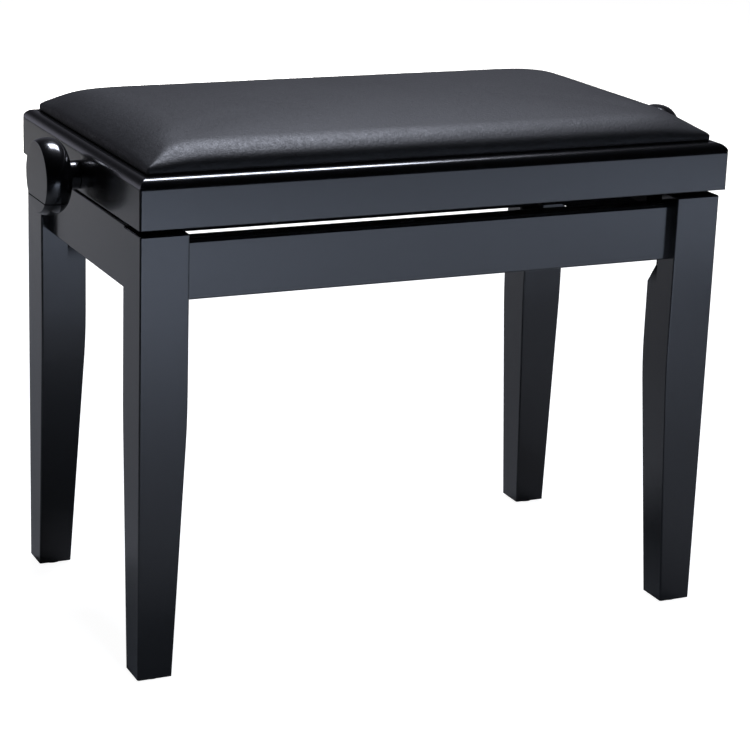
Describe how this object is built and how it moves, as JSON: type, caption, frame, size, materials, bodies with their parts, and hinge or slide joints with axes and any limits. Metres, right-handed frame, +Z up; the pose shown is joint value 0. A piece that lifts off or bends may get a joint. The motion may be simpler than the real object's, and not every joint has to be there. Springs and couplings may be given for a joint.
{
  "type": "adjustable piano bench",
  "caption": "Black lacquered piano bench with a padded vinyl seat on tapered legs, raised by side knobs that turn a screw-driven scissor lift.",
  "frame": {"origin": "on the floor, under the middle of the seat", "axes": "+Z up, +X along the seat to the right of someone facing its front, +Y to the rear; the front apron faces -Y"},
  "size_m": [0.628, 0.328, 0.4725],
  "materials": {
    "black_lacquer": "gloss black lacquer",
    "knob_lacquer": "high-gloss black lacquer",
    "black_vinyl": "fine-grained semi-gloss",
    "foam": "matte",
    "plywood": "matte dark stain",
    "stained_wood": "matte dark stain",
    "black_steel": "satin black",
    "zinc_steel": "bright zinc",
    "brass": "satin",
    "nylon": "matte",
    "glide_plastic": "matte"
  },
  "bodies": {
    "base": {"leg_front_left": "black_lacquer", "leg_front_right": "black_lacquer", "leg_rear_left": "black_lacquer", "leg_rear_right": "black_lacquer", "floor_glides": "glide_plastic", "apron_front": "black_lacquer", "apron_rear": "black_lacquer", "apron_left": "black_lacquer", "apron_right": "black_lacquer", "corner_brace_front_left": "black_steel", "corner_brace_front_right": "black_steel", "corner_brace_rear_left": "black_steel", "corner_brace_rear_right": "black_steel", "brace_screws": "zinc_steel", "leg_bolts": "zinc_steel", "leg_washers": "zinc_steel", "leg_nuts": "zinc_steel", "rail_cleat_left": "stained_wood", "rail_cleat_right": "stained_wood", "cleat_screws": "zinc_steel", "lower_rail_front": "black_steel", "lower_rail_rear": "black_steel", "lower_rail_screws": "zinc_steel", "lower_pivot_shaft": "zinc_steel", "lower_pivot_tube": "zinc_steel", "lower_pivot_spacers": "zinc_steel"},
    "outer_arms": {"outer_arm_front": "black_steel", "outer_arm_rear": "black_steel", "crossing_rivets": "zinc_steel", "crossing_washers": "zinc_steel"},
    "inner_arms": {"inner_arm_front": "black_steel", "inner_arm_rear": "black_steel", "slide_shaft": "zinc_steel", "slide_tube": "zinc_steel", "slide_spacers": "zinc_steel"},
    "lift_nut": {"nut_bar": "black_steel", "lifting_nut": "brass"},
    "seat": {"seat_rail_front": "black_lacquer", "seat_rail_rear": "black_lacquer", "seat_rail_left": "black_lacquer", "seat_rail_right": "black_lacquer", "seat_blocks": "stained_wood", "board_screws": "zinc_steel", "seat_board": "plywood", "cushion_foam": "foam", "cushion_cover": "black_vinyl", "upper_rail_front": "black_steel", "upper_rail_rear": "black_steel", "upper_rail_screws": "zinc_steel", "thrust_bar": "black_steel", "thrust_bar_spacers": "zinc_steel", "spindle_bush_left": "nylon", "spindle_bush_right": "nylon"},
    "spindle_set": {"spindle": "zinc_steel", "thrust_collars": "zinc_steel", "knob_left": "knob_lacquer", "knob_right": "knob_lacquer"}
  },
  "joints": [
    {"name": "seat_lift", "type": "hinge", "parent": "base", "child": "outer_arms", "pos_m": [-0.12928, 0, 0.384], "axis": [0, -1, 0], "range_deg": [0, 19.56]},
    {"name": "arm_crossing", "type": "hinge", "parent": "outer_arms", "child": "inner_arms", "pos_m": [0, 0, 0.3977], "axis": [0, -1, 0], "range_deg": [-39.12, 0]},
    {"name": "seat_pivot", "type": "hinge", "parent": "inner_arms", "child": "seat", "pos_m": [-0.12928, 0, 0.4114], "axis": [0, -1, 0], "range_deg": [0, 19.56]},
    {"name": "nut_pivot", "type": "hinge", "parent": "outer_arms", "child": "lift_nut", "pos_m": [0.12928, 0, 0.4114], "axis": [0, -1, 0], "range_deg": [-19.56, 0]},
    {"name": "knob_turn", "type": "hinge", "parent": "seat", "child": "spindle_set", "pos_m": [0, 0, 0.4114], "axis": [1, 0, 0], "range_deg": [0, 2170]}
  ],
  "couplings": [
    {"joint": "arm_crossing", "follows": "seat_lift", "ratio": -2},
    {"joint": "seat_pivot", "follows": "seat_lift", "ratio": 1},
    {"joint": "nut_pivot", "follows": "seat_lift", "ratio": -1},
    {"joint": "knob_turn", "follows": "seat_lift", "ratio": 110.9}
  ]
}
